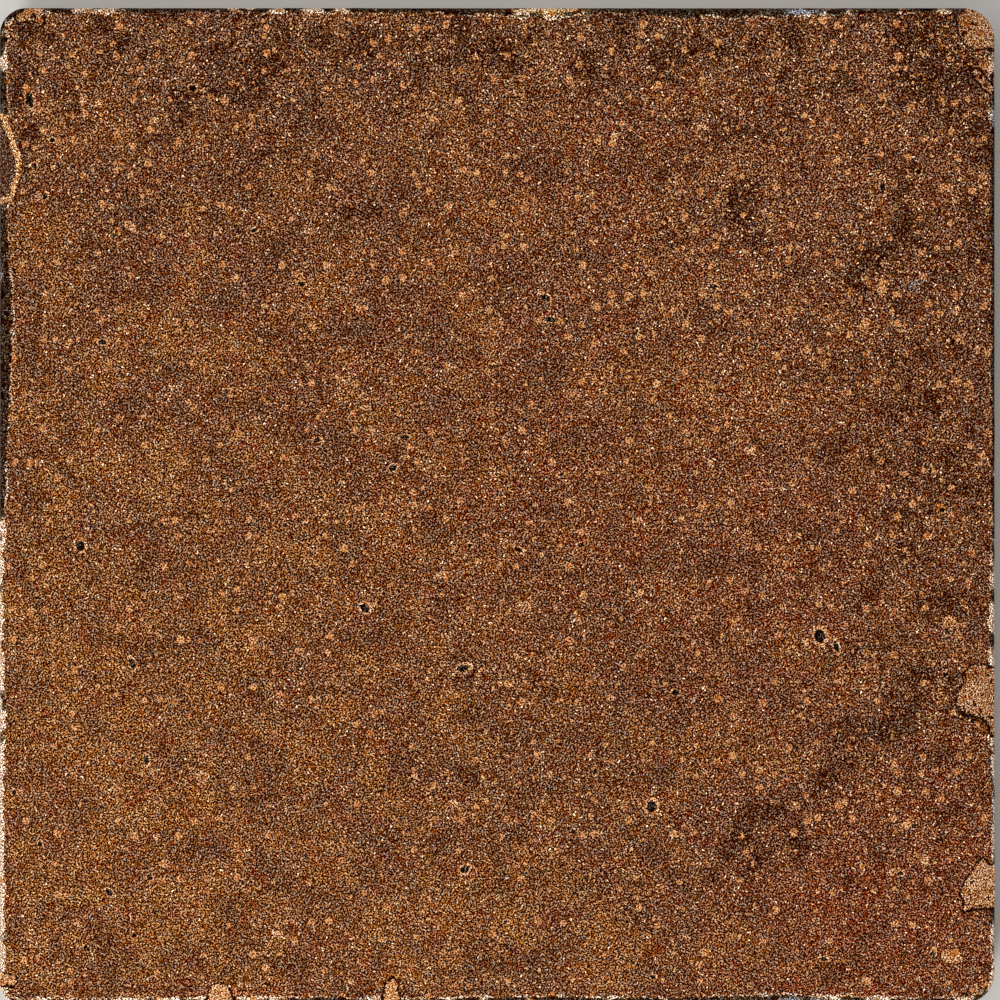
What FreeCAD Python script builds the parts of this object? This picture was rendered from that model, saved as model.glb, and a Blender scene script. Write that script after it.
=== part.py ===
"""A square terracotta floor tile: one fired slab with worn edges, a keyed back and a chipped walking face.

Millimetres and degrees. The origin is the middle of the back, which lies in the mortar bed: +Z is up,
through the walking face, +X is right and +Y is away from a person who looks down on the tile.
"""

import FreeCAD, Part
import Sketcher
import math
import os

# The slab. Its walking face is its largest outline, because the sides lean in towards the back.
SLAB = {
    "tile_length": 200.0,  # left to right
    "tile_width": 200.0,  # front to back
    "thickness": 15.0,
    "side_draft": 2.0,  # degrees
    "arris_round": 1.5,  # the worn edge round the walking face
    "back_edge_round": 0.8,
}

# Each corner has worn to a radius of its own, seen from above.
CORNERS = {
    "corner_front_left": 4.0,
    "corner_front_right": 6.0,
    "corner_back_right": 6.4,
    "corner_back_left": 5.4,
}

# Shallow grooves along the back, front to back, that key the tile into its bed.
KEYS = {
    "key_width": 8.0,  # at the mouth
    "key_depth": 1.2,
    "key_pitch": 16.0,
    "key_flank": 25.0,  # degrees from upright
    "key_border": 11.0,  # the least distance from a side to the middle of the outermost groove
}

# A piece broken off the right side: a small upright step at its inner edge, then a flat floor that falls
# outwards. Seen from above it is a wedge, widest at its front end.
BREAK = {
    "break_from_front": 18.4,  # from the front to its front end
    "break_length": 11.6,
    "break_front_width": 7.4,  # in from the right side, at its front end
    "break_back_width": 2.4,
    "break_step": 0.35,
    "break_fall": 5.0,  # degrees
    "break_clearance": 4.0,  # how far the cutting wedge stands out over the tile
}

# The other chips are scoops out of the walking face, each the bottom of one upright ellipsoid this tall.
SCOOP = {"scoop_height": 8.0}

# For each chip: the two sides that its middle is measured from, those distances, then how far it reaches
# over the walking face from its middle (left to right, front to back), its depth, and its turn in degrees.
CHIPS = {
    "corner_chip": ("right", 1.0, "back", 1.3, 7.4, 7.4, 1.2, 0.0),
    "corner_splinter": ("right", 2.2, "back", 15.8, 5.0, 1.5, 0.7, -48.0),
    "right_side_chip": ("right", 0.4, "front", 62.2, 10.0, 7.4, 1.0, 0.0),
    "front_left_chip": ("left", 1.0, "front", 5.8, 3.4, 3.2, 0.7, 0.0),
    "front_side_chip": ("left", 44.8, "front", 1.2, 3.8, 3.4, 0.6, 0.0),
    "front_side_flake": ("left", 78.7, "front", 1.0, 2.4, 3.2, 0.5, 0.0),
    "left_side_chip": ("left", 0.2, "back", 30.4, 4.6, 9.6, 1.3, 0.0),
    "left_side_wear": ("left", -0.2, "back", 66.0, 3.0, 15.0, 0.9, 0.0),
    "back_left_chip": ("left", 6.0, "back", 1.4, 4.2, 2.8, 0.7, 0.0),
    "back_side_chip": ("right", 90.0, "back", 0.4, 5.2, 2.4, 1.1, 0.0),
}
CHIP_SIZES = ("from_side", "from_end", "reach_across", "reach_along", "depth", "turn")

NODE = "floor_tile"
SAME_HEIGHT = 1e-4


class LineEnd:
    """How a sketch numbers the two ends of a line or an arc."""

    START = 1
    END = 2


# How a sketch names its own horizontal axis and its origin, which is where that axis starts.
HORIZONTAL_AXIS = -1
ORIGIN_POINT = (HORIZONTAL_AXIS, LineEnd.START)


def size_sheet(doc):
    """The spreadsheet of driving dimensions, one aliased cell for each."""
    sizes = {**SLAB, **CORNERS, **KEYS, **BREAK, **SCOOP}
    for chip, (_, from_side, _, from_end, *rest) in CHIPS.items():
        for word, value in zip(CHIP_SIZES, (from_side, from_end, *rest)):
            sizes[f"{chip}_{word}"] = value
    sheet = doc.addObject("Spreadsheet::Sheet", "Sizes")
    for row, (alias, value) in enumerate(sizes.items(), 1):
        sheet.set(f"A{row}", alias)
        sheet.set(f"B{row}", str(value))
        sheet.setAlias(f"B{row}", alias)
    doc.recompute()
    return sheet


def origin_plane(body, role):
    """One of the body's own origin planes, such as XY_Plane."""
    return next(plane for plane in body.Origin.OriginFeatures if plane.Role == role)


def sketch_on(body, name, role):
    """A new sketch on one of the body's origin planes."""
    sketch = body.newObject("Sketcher::SketchObject", name)
    sketch.AttachmentSupport = [(origin_plane(body, role), "")]
    sketch.MapMode = "FlatFace"
    return sketch


def followers(items):
    """What follows each item of a closed ring of items."""
    return items[1:] + items[:1]


def bind(sketch, name, rule, *constraint):
    """Adds a constraint that a formula drives. Its last number is only where the solver starts."""
    index = sketch.addConstraint(Sketcher.Constraint(*constraint))
    sketch.renameConstraint(index, name)
    sketch.setExpression(f"Constraints.{name}", rule)


def face_outline(body, sheet):
    """The walking face seen from above: a square with four worn corners, at the height of the face."""
    sketch = sketch_on(body, "face_outline", "XY_Plane")
    sketch.setExpression("AttachmentOffset.Base.z", "Sizes.thickness")
    half_length, half_width = sheet.tile_length / 2, sheet.tile_width / 2
    # Anticlockwise from the front left: a corner's name, the signs of its place, its arc's first angle.
    corners = (
        ("corner_front_left", -1, -1, math.pi),
        ("corner_front_right", 1, -1, 1.5 * math.pi),
        ("corner_back_right", 1, 1, 0.0),
        ("corner_back_left", -1, 1, 0.5 * math.pi),
    )
    arcs, arc_shapes = [], []
    for name, sign_x, sign_y, first_angle in corners:
        radius = sheet.get(name)
        middle = FreeCAD.Vector(sign_x * (half_length - radius), sign_y * (half_width - radius), 0)
        circle = Part.Circle(middle, FreeCAD.Vector(0, 0, 1), radius)
        arc = Part.ArcOfCircle(circle, first_angle, first_angle + math.pi / 2)
        arcs.append(sketch.addGeometry(arc))
        arc_shapes.append(arc)
    sides = [
        sketch.addGeometry(Part.LineSegment(before.EndPoint, after.StartPoint))
        for before, after in zip(arc_shapes, followers(arc_shapes))
    ]
    for side, before, after in zip(sides, arcs, followers(arcs)):
        sketch.addConstraint(Sketcher.Constraint("Tangent", before, LineEnd.END, side, LineEnd.START))
        sketch.addConstraint(Sketcher.Constraint("Tangent", side, LineEnd.END, after, LineEnd.START))
    front, right, back, left = sides
    for direction, pair in (("Horizontal", (front, back)), ("Vertical", (right, left))):
        for side in pair:
            sketch.addConstraint(Sketcher.Constraint(direction, side))
    start = LineEnd.START
    bind(sketch, "front", "Sizes.tile_width / 2", "DistanceY", front, start, *ORIGIN_POINT, half_width)
    bind(sketch, "right", "Sizes.tile_length / 2", "DistanceX", *ORIGIN_POINT, right, start, half_length)
    bind(sketch, "back", "Sizes.tile_width / 2", "DistanceY", *ORIGIN_POINT, back, start, half_width)
    bind(sketch, "left", "Sizes.tile_length / 2", "DistanceX", left, start, *ORIGIN_POINT, half_length)
    for arc, (name, *_) in zip(arcs, corners):
        bind(sketch, name, f"Sizes.{name}", "Radius", arc, sheet.get(name))
    return sketch


def slab(body, outline):
    """The slab, from the walking face down to the back, leaning in."""
    pad = body.newObject("PartDesign::Pad", "slab")
    pad.Profile = outline
    pad.Reversed = True
    pad.setExpression("Length", "Sizes.thickness")
    pad.setExpression("TaperAngle", "-Sizes.side_draft")
    body.Document.recompute()
    return pad


def round_rim(body, name, height, rule):
    """Rounds every edge of the solid that lies at one height."""
    solid = body.Tip
    rim = [
        f"Edge{number}"
        for number, edge in enumerate(solid.Shape.Edges, 1)
        if all(abs(corner.Z - height) < SAME_HEIGHT for corner in edge.Vertexes)
    ]
    fillet = body.newObject("PartDesign::Fillet", name)
    fillet.Base = (solid, rim)
    fillet.setExpression("Radius", rule)
    body.Document.recompute()


def key_grooves(body, sheet):
    """One groove with sloping flanks, cut the whole way from front to back, then repeated to the right."""
    sketch = sketch_on(body, "groove_section", "XZ_Plane")
    mouth, depth = sheet.key_width, sheet.key_depth
    slope = depth * math.tan(math.radians(sheet.key_flank))
    count = "(2 * floor((Sizes.tile_length / 2 - Sizes.key_border) / Sizes.key_pitch + 1 / 2))"
    points = [
        FreeCAD.Vector(across - sheet.tile_length / 2, up, 0)
        for across, up in ((0, 0), (mouth, 0), (mouth - slope, depth), (slope, depth))
    ]
    lines = [sketch.addGeometry(Part.LineSegment(*ends)) for ends in zip(points, followers(points))]
    for line, following in zip(lines, followers(lines)):
        sketch.addConstraint(Sketcher.Constraint("Coincident", line, LineEnd.END, following, LineEnd.START))
    opening, right_flank, floor, left_flank = lines
    sketch.addConstraint(Sketcher.Constraint("Horizontal", opening))
    sketch.addConstraint(Sketcher.Constraint("Horizontal", floor))
    sketch.addConstraint(Sketcher.Constraint("Equal", right_flank, left_flank))
    sketch.addConstraint(Sketcher.Constraint("PointOnObject", opening, LineEnd.START, HORIZONTAL_AXIS))
    mouth_ends = (opening, LineEnd.START, opening, LineEnd.END)
    floor_ends = (floor, LineEnd.END, floor, LineEnd.START)
    flank_ends = (left_flank, LineEnd.END, left_flank, LineEnd.START)
    bind(sketch, "mouth", "Sizes.key_width", "DistanceX", *mouth_ends, mouth)
    floor_rule = "Sizes.key_width - 2 * Sizes.key_depth * tan(Sizes.key_flank * 1 deg)"
    floor_width = mouth - 2 * slope
    bind(sketch, "floor", floor_rule, "DistanceX", *floor_ends, floor_width)
    bind(sketch, "depth", "Sizes.key_depth", "DistanceY", *flank_ends, depth)
    first_rule = f"({count} - 1) / 2 * Sizes.key_pitch + Sizes.key_width / 2"
    first = sheet.tile_length / 2
    bind(sketch, "first", first_rule, "DistanceX", opening, LineEnd.START, *ORIGIN_POINT, first)
    groove = body.newObject("PartDesign::Pocket", "key_groove")
    groove.Profile = sketch
    groove.SideType = "Symmetric"
    groove.Type = "ThroughAll"
    body.Document.recompute()
    pattern = body.newObject("PartDesign::LinearPattern", "key_grooves")
    pattern.Originals = [groove]
    pattern.Direction = (sketch, ["H_Axis"])
    pattern.Mode = "Spacing"
    pattern.setExpression("Offset", "Sizes.key_pitch")
    pattern.setExpression("Occurrences", count)
    body.Tip = pattern
    body.Document.recompute()


def flat_break(body, name):
    """The piece broken off the right side, cut by a wedge that is tilted to fall outwards."""
    wedge = body.newObject("PartDesign::SubtractiveWedge", name)
    wedge.AttachmentSupport = [(origin_plane(body, "XY_Plane"), "")]
    wedge.MapMode = "FlatFace"
    tilt = FreeCAD.Rotation(FreeCAD.Vector(0, 1, 0), 1)
    wedge.AttachmentOffset = FreeCAD.Placement(FreeCAD.Vector(), tilt)
    outer = "Sizes.break_front_width + Sizes.break_clearance"
    rules = {
        "Zmin": "0 mm",
        "Z2min": "0 mm",
        "Zmax": "Sizes.break_clearance",
        "Z2max": "Sizes.break_clearance",
        "Ymin": "0 mm",
        "Ymax": "Sizes.break_length",
        "Xmin": "0 mm",
        "X2min": "Sizes.break_front_width - Sizes.break_back_width",
        "Xmax": outer,
        "X2max": outer,
        "AttachmentOffset.Rotation.Angle": "Sizes.break_fall",
        "AttachmentOffset.Base.x": "Sizes.tile_length / 2 - Sizes.break_front_width",
        "AttachmentOffset.Base.y": "Sizes.break_from_front - Sizes.tile_width / 2",
        "AttachmentOffset.Base.z": "Sizes.thickness - Sizes.break_step",
    }
    for target, rule in rules.items():
        wedge.setExpression(target, rule)
    body.Document.recompute()


def chip(body, name, side, end):
    """One scoop out of the walking face, placed from the side and the end that it lies nearest to."""
    sign_x, sign_y = (1 if side == "right" else -1), (1 if end == "back" else -1)
    scoop = body.newObject("PartDesign::SubtractiveEllipsoid", name)
    scoop.AttachmentSupport = [(origin_plane(body, "XY_Plane"), "")]
    scoop.MapMode = "FlatFace"
    size = f"Sizes.{name}_"
    # How high the walking face lies in the ellipsoid, from its middle, and how wide the ellipsoid is there.
    lifted = f"(1 - 2 * {size}depth / Sizes.scoop_height)"
    widening = f"sqrt(1 - {lifted} * {lifted})"
    rules = {
        "AttachmentOffset.Base.x": f"{sign_x} * (Sizes.tile_length / 2 - {size}from_side)",
        "AttachmentOffset.Base.y": f"{sign_y} * (Sizes.tile_width / 2 - {size}from_end)",
        "AttachmentOffset.Base.z": f"Sizes.thickness - {size}depth + Sizes.scoop_height / 2",
        "AttachmentOffset.Rotation.Angle": f"{size}turn",
        "Radius1": "Sizes.scoop_height / 2",
        "Radius2": f"{size}reach_across / {widening}",
        "Radius3": f"{size}reach_along / {widening}",
    }
    for target, rule in rules.items():
        scoop.setExpression(target, rule)
    body.Document.recompute()


def check_cut(body, name, before):
    """Stops if a step took nothing away. Returns the volume that is left."""
    left = body.Shape.Volume
    if not 0 < left < before:
        raise RuntimeError(f"{name} cut nothing: {before:.3f} mm3 before and {left:.3f} mm3 after")
    return left


def check_document(doc):
    """Stops if any object failed, or a body isn't one valid solid."""
    for item in doc.Objects:
        if {"Invalid", "Error"} & set(item.State):
            raise RuntimeError(f"{item.Name} failed: {item.State}")
    for body in doc.findObjects("PartDesign::Body"):
        shape = body.Shape
        if shape.isNull() or not shape.isValid() or len(shape.Solids) != 1:
            raise RuntimeError(f"{body.Label} is not one valid solid")


def floor_tile(doc, sheet):
    """The whole tile, fired as one piece."""
    body = doc.addObject("PartDesign::Body", NODE)
    body.Label = NODE
    slab(body, face_outline(body, sheet))
    volume = body.Shape.Volume
    round_rim(body, "worn_arris", sheet.thickness, "Sizes.arris_round")
    volume = check_cut(body, "worn_arris", volume)
    round_rim(body, "worn_back_edge", 0.0, "Sizes.back_edge_round")
    volume = check_cut(body, "worn_back_edge", volume)
    key_grooves(body, sheet)
    volume = check_cut(body, "key_grooves", volume)
    flat_break(body, "right_front_break")
    volume = check_cut(body, "right_front_break", volume)
    for name, (side, _, end, *_) in CHIPS.items():
        chip(body, name, side, end)
        volume = check_cut(body, name, volume)
    return body


def main():
    doc = FreeCAD.newDocument("terracotta_floor_tile")
    body = floor_tile(doc, size_sheet(doc))
    check_document(doc)
    os.makedirs("parts", exist_ok=True)
    body.Shape.exportStep(f"parts/{body.Label}.step")
    box = body.Shape.optimalBoundingBox(True, False)
    extents = f"{box.XLength:.2f} x {box.YLength:.2f} x {box.ZLength:.2f} mm"
    print(f"{body.Label}: {extents}, {body.Shape.Volume:.0f} mm3")


main()
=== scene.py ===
"""A worn square terracotta floor tile, seen straight from above.

One fired slab, made from the outside in: its outline and worn rim, then the chips, pits and key grooves
that are cut out of it, then the clay's grain, grog and stains. Metres, with +Z up through the walking face.
The tables below hold millimetres, counted from the tile's middle: +X is right and +Y is up the picture.
"""

import math

import bmesh
import bpy
import numpy as np
from bpy.props import FloatProperty, FloatVectorProperty, IntProperty, PointerProperty
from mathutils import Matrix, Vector, geometry, noise


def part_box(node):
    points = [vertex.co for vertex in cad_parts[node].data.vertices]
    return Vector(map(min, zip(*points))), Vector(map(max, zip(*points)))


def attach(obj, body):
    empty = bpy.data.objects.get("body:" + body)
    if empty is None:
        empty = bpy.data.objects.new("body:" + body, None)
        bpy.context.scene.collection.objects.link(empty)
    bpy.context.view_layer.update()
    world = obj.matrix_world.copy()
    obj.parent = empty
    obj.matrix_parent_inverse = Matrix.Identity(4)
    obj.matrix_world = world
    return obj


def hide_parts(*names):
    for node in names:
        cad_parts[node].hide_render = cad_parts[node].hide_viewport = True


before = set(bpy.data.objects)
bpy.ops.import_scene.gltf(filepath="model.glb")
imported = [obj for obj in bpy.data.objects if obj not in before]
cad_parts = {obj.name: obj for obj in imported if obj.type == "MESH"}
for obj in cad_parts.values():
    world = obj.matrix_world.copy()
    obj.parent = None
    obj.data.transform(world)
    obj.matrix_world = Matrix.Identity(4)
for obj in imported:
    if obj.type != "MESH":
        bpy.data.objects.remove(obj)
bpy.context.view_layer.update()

bl_info = {
    "name": "Terracotta Floor Tile",
    "version": (1, 0, 0),
    "blender": (4, 5, 0),
    "location": "3D View > Sidebar > Terracotta",
    "description": "Makes a worn terracotta floor tile and the studio that it is photographed in",
    "category": "Add Mesh",
}

NODE = "floor_tile"
MM = 0.001
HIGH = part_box(NODE)[1]
HALF_LENGTH, HALF_WIDTH = HIGH[0] / MM, HIGH[1] / MM
FACE = HIGH[2] / MM  # the height of the walking face over the back, which lies at zero

RAGGED_SEED = 5  # picks how the chips' outlines stray

# Where the add-on keeps its settings in the scene.
TILE, CLAY, STUDIO = "terracotta_tile", "terracotta_clay", "terracotta_studio"

# The radius of each corner, seen from above, by its side in X and in Y.
CORNERS = {(-1, -1): 4.0, (1, -1): 6.0, (1, 1): 6.4, (-1, 1): 5.4}

# How wide the rim is worn, as places along each side and the width there. Left and right go from front to
# back, front and back from left to right.
WORN_WIDTH = {
    "left": (
        (-96, 1.4), (-74, 1.2), (-51, 1.2), (-42, 1.4), (-27, 0.8), (-9, 0.9), (8, 1.8), (21, 2.4),
        (33, 2.8), (41, 2.8), (50, 2.0), (61, 1.8), (82, 1.9), (92, 1.8),
    ),
    "right": ((-95, 1.0), (-60, 0.7), (-45, 1.5), (-25, 1.2), (0, 0.8), (40, 0.9), (70, 1.0), (95, 1.4)),
    "front": ((-95, 1.0), (-70, 1.2), (-45, 1.5), (-20, 1.3), (10, 1.6), (40, 1.5), (60, 1.9), (85, 1.3)),
    "back": (
        (-92, 1.3), (-60, 1.2), (-30, 1.2), (-12, 1.3), (-9, 1.8), (-4, 1.4), (7, 2.3), (12, 2.6),
        (17, 1.4), (30, 1.3), (36, 2.3), (42, 1.8), (48, 2.2), (56, 1.7), (80, 1.2), (92, 1.3),
    ),
}

# Chips off the rim: the outline on the walking face, the step down at its inner edge, how much further it
# falls for each millimetre outwards, which way that is, and how clean the broken clay is, from 0 to 1.
CHIPS = {
    "corner": (
        ((91.5, 98.3), (92.1, 96.2), (92.4, 94.6), (93.4, 92.2), (94.5, 91.7), (95.9, 90.9), (97.2, 91.4),
         (98.8, 91.3), (101.5, 91.0), (101.5, 101.5), (94.4, 101.5), (93.6, 99.4)),
        0.35, 0.13, (1, 1), 0.68,
    ),
    "corner_splinter": (
        ((94.2, 88.0), (96.6, 87.9), (97.8, 86.4), (99.0, 85.0), (101.5, 83.4), (101.5, 81.6), (98.6, 82.3),
         (97.0, 83.4), (95.8, 85.2), (94.8, 86.6)),
        0.30, 0.12, (1, 1), 0.66,
    ),
    "corner_sliver": (
        ((98.7, 86.2), (99.2, 87.0), (101.5, 87.3), (101.5, 84.6), (99.2, 84.8)),
        0.30, 0.40, (1, 0), 0.5,
    ),
    "right_side": (
        ((96.8, -31.4), (95.0, -31.8), (93.0, -33.8), (93.4, -35.6), (92.0, -37.6), (91.4, -39.5),
         (92.4, -41.3), (94.2, -42.1), (96.0, -42.5), (97.8, -43.5), (98.8, -46.5), (101.5, -46.9),
         (101.5, -32.6), (99.0, -32.0)),
        0.25, 0.10, (1, 0), 0.7,
    ),
    "right_front": (
        ((97.3, -70.2), (96.2, -71.2), (94.0, -74.4), (92.5, -77.8), (93.1, -79.0), (93.2, -81.4),
         (94.2, -81.8), (95.8, -81.1), (99.0, -81.2), (101.5, -80.8), (101.5, -72.0), (99.0, -72.0),
         (98.2, -70.8)),
        0.35, 0.10, (1, 0), 0.76,
    ),
    "front_left": (
        ((-101.5, -92.0), (-98.2, -93.7), (-96.2, -94.1), (-95.6, -95.3), (-96.4, -96.3), (-98.2, -96.7),
         (-99.4, -96.5), (-101.5, -95.2)),
        0.20, 0.15, (-1, 0), 1.0,
    ),
    "front_side": (
        ((-59.2, -101.5), (-58.2, -97.3), (-57.2, -96.1), (-56.0, -95.3), (-54.4, -95.9), (-53.2, -97.1),
         (-51.4, -101.5)),
        0.15, 0.15, (0, -1), 1.0,
    ),
    "front_side_small": (
        ((-23.7, -101.5), (-22.9, -96.3), (-21.9, -94.7), (-20.7, -94.3), (-19.7, -95.7), (-18.9, -101.5)),
        0.15, 0.12, (0, -1), 1.0,
    ),
    "back_left": (
        ((-97.0, 98.1), (-95.8, 99.1), (-93.2, 101.5), (-90.6, 101.5), (-90.6, 96.7), (-91.4, 95.9),
         (-93.0, 95.7), (-94.4, 96.7), (-96.2, 96.3)),
        0.20, 0.15, (0, 1), 0.7,
    ),
    "left_side": (
        ((-101.5, 79.4), (-98.4, 78.2), (-97.7, 75.9), (-96.6, 73.4), (-95.7, 70.8), (-95.1, 68.2),
         (-95.4, 66.2), (-96.3, 63.8), (-97.1, 61.0), (-101.5, 59.8)),
        0.30, 0.20, (-1, 0), 0.1,
    ),
}

# Pits: place, half sizes across and along, turn in degrees, depth. The first ones are the deepest.
PITS = (
    (64.7, -26.2, 1.15, 1.45, 10, 1.6), (31.0, -60.4, 1.05, 1.25, -15, 1.5),
    (-61.0, 83.6, 0.75, 0.70, 0, 1.4), (-93.7, 81.4, 0.80, 1.60, 12, 1.2),
    (-26.5, -20.5, 1.10, 0.85, -30, 1.3), (-79.1, 32.8, 1.00, 0.55, 5, 1.1),
    (-83.6, -8.0, 0.95, 1.10, 25, 1.2), (-39.2, 44.4, 0.80, 0.55, 0, 1.0),
    (9.6, 41.7, 1.10, 0.65, -30, 1.1), (10.7, 37.3, 1.60, 0.55, -5, 1.0),
    (-18.5, 13.7, 0.95, 0.55, 0, 1.1), (-36.0, 13.2, 0.75, 0.50, 0, 0.9),
    (-20.9, 7.5, 0.90, 0.70, 20, 0.9), (-6.8, -32.6, 1.30, 0.75, 15, 1.1),
    (68.0, -28.2, 0.55, 1.20, 15, 1.1), (35.8, -37.5, 0.80, 0.60, 0, 0.9),
    (19.7, -53.3, 0.40, 0.85, 0, 1.0), (27.2, -53.8, 0.45, 0.60, 0, 0.9),
    (-6.5, -73.0, 1.10, 0.75, 35, 0.9), (-73.1, -31.6, 0.55, 1.10, 25, 1.0),
    (-70.2, -51.0, 0.55, 0.95, 12, 1.1), (51.9, 32.2, 0.50, 0.50, 0, 0.8),
    (43.4, 43.9, 0.85, 0.60, -20, 0.9), (85.0, 85.6, 0.55, 0.70, 0, 1.1),
    (16.8, -7.9, 0.70, 0.40, 0, 0.8), (4.3, -8.8, 1.00, 0.45, -25, 0.8), (-5.4, -8.0, 0.50, 0.45, 0, 0.8),
    (-67.6, -3.8, 0.65, 0.45, 0, 0.8), (-42.5, -3.9, 0.55, 0.40, 0, 0.8),
    (-48.6, 55.2, 0.65, 0.45, 30, 0.8), (-77.7, -77.6, 0.90, 0.60, -40, 1.1),
    (-82.3, -88.8, 0.70, 0.50, -40, 0.9), (31.3, -94.5, 0.60, 0.45, 0, 0.8),
    (65.5, -90.9, 0.90, 0.40, -5, 0.9), (89.2, -0.9, 0.55, 0.50, 0, 0.9),
    (90.3, -25.3, 0.50, 0.70, 0, 1.0), (93.8, -42.0, 0.80, 0.50, 10, 0.7),
    (90.0, -33.8, 0.55, 0.50, 0, 0.8), (95.4, -43.3, 0.60, 0.40, 0, 0.7),
    (92.6, -28.2, 0.65, 0.35, -15, 0.7), (87.3, -89.9, 0.60, 0.55, 0, 0.9),
    (83.5, -64.3, 0.45, 0.45, 0, 0.8), (80.9, -73.8, 0.60, 0.45, 20, 0.7),
    (77.3, 64.0, 0.50, 1.60, 4, 0.9), (84.5, 66.9, 0.55, 0.60, 0, 0.8), (-89.2, 73.2, 0.60, 0.45, 0, 0.8),
    (-90.6, 62.0, 0.50, 0.65, -15, 0.9), (-92.6, 68.0, 0.45, 0.75, 0, 0.8),
    (-96.8, -57.5, 0.50, 0.60, 0, 0.9), (-91.6, -67.8, 0.45, 0.65, 0, 0.9),
    (-51.0, -75.6, 0.40, 0.60, 0, 0.8), (-69.6, -74.6, 0.75, 0.55, -20, 0.8),
    (-72.7, -86.2, 0.50, 0.45, 0, 0.8), (-53.7, -91.5, 0.35, 0.35, 0, 0.7),
    (-60.0, 30.6, 0.45, 0.35, 0, 0.7), (2.0, 58.0, 0.45, 0.40, 0, 0.7), (57.0, 12.0, 0.50, 0.35, 20, 0.7),
    (-44.0, -49.0, 0.40, 0.40, 0, 0.7), (47.0, -74.0, 0.45, 0.35, 0, 0.7),
    (66.0, 40.0, 0.40, 0.45, 0, 0.7), (-92.6, 96.9, 1.40, 0.24, -20, 1.6),
    (-92.8, 98.2, 0.90, 0.22, -60, 1.6), (-90.8, 97.7, 0.24, 1.10, 10, 1.6),
)

# Grains of grog that lie in the face, and shallow bursts where one has come out: place, half sizes, turn.
GRAINS = (
    (-59.1, -54.4, 1.45, 1.40, 0), (-69.1, -53.8, 0.60, 0.50, 0), (-68.3, -66.4, 0.80, 0.75, 0),
    (91.1, -90.3, 2.30, 1.65, -12), (88.6, -0.5, 1.25, 1.20, 0), (90.6, -23.6, 1.60, 1.70, 0),
    (82.0, -64.0, 1.50, 0.80, 12), (79.6, -73.4, 1.70, 0.80, 18), (85.7, -71.2, 1.00, 1.30, 0),
    (-31.6, 25.3, 2.10, 0.75, -38), (-26.4, 19.6, 1.30, 0.60, 0), (-73.5, 56.0, 1.50, 0.90, -40),
    (-37.4, 55.0, 1.30, 0.60, 10), (19.2, 52.7, 1.30, 0.70, 0), (5.7, -20.0, 1.70, 0.80, -25),
    (50.4, 10.9, 1.60, 0.60, -30), (73.7, 36.3, 1.70, 0.90, 55), (77.0, 43.4, 1.30, 0.90, 0),
    (-11.2, -14.0, 1.80, 0.60, 25), (92.0, 39.0, 0.80, 1.20, -15), (-68.6, 77.2, 1.10, 0.80, 0),
    (-83.2, 81.4, 1.00, 1.10, 0), (-79.9, 80.6, 0.90, 0.90, 0), (-92.0, 62.0, 0.60, 1.00, 0),
    (-59.0, 83.2, 0.80, 0.70, 0), (41.2, 76.0, 1.20, 0.80, 0), (74.0, 70.0, 0.90, 0.60, 0),
    (23.4, 74.0, 0.90, 0.80, 0), (-27.0, 69.0, 0.80, 0.70, 0), (-2.0, 79.0, 0.70, 0.60, 0),
    (-79.0, 20.4, 0.70, 0.60, 0), (93.6, -20.0, 0.60, 1.80, 28), (60.0, -60.0, 0.90, 0.70, 0),
    (-8.6, -60.0, 1.20, 0.90, 60), (-44.0, -86.0, 1.60, 0.70, -20), (-84.0, -84.0, 0.90, 0.60, 0),
)

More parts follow.
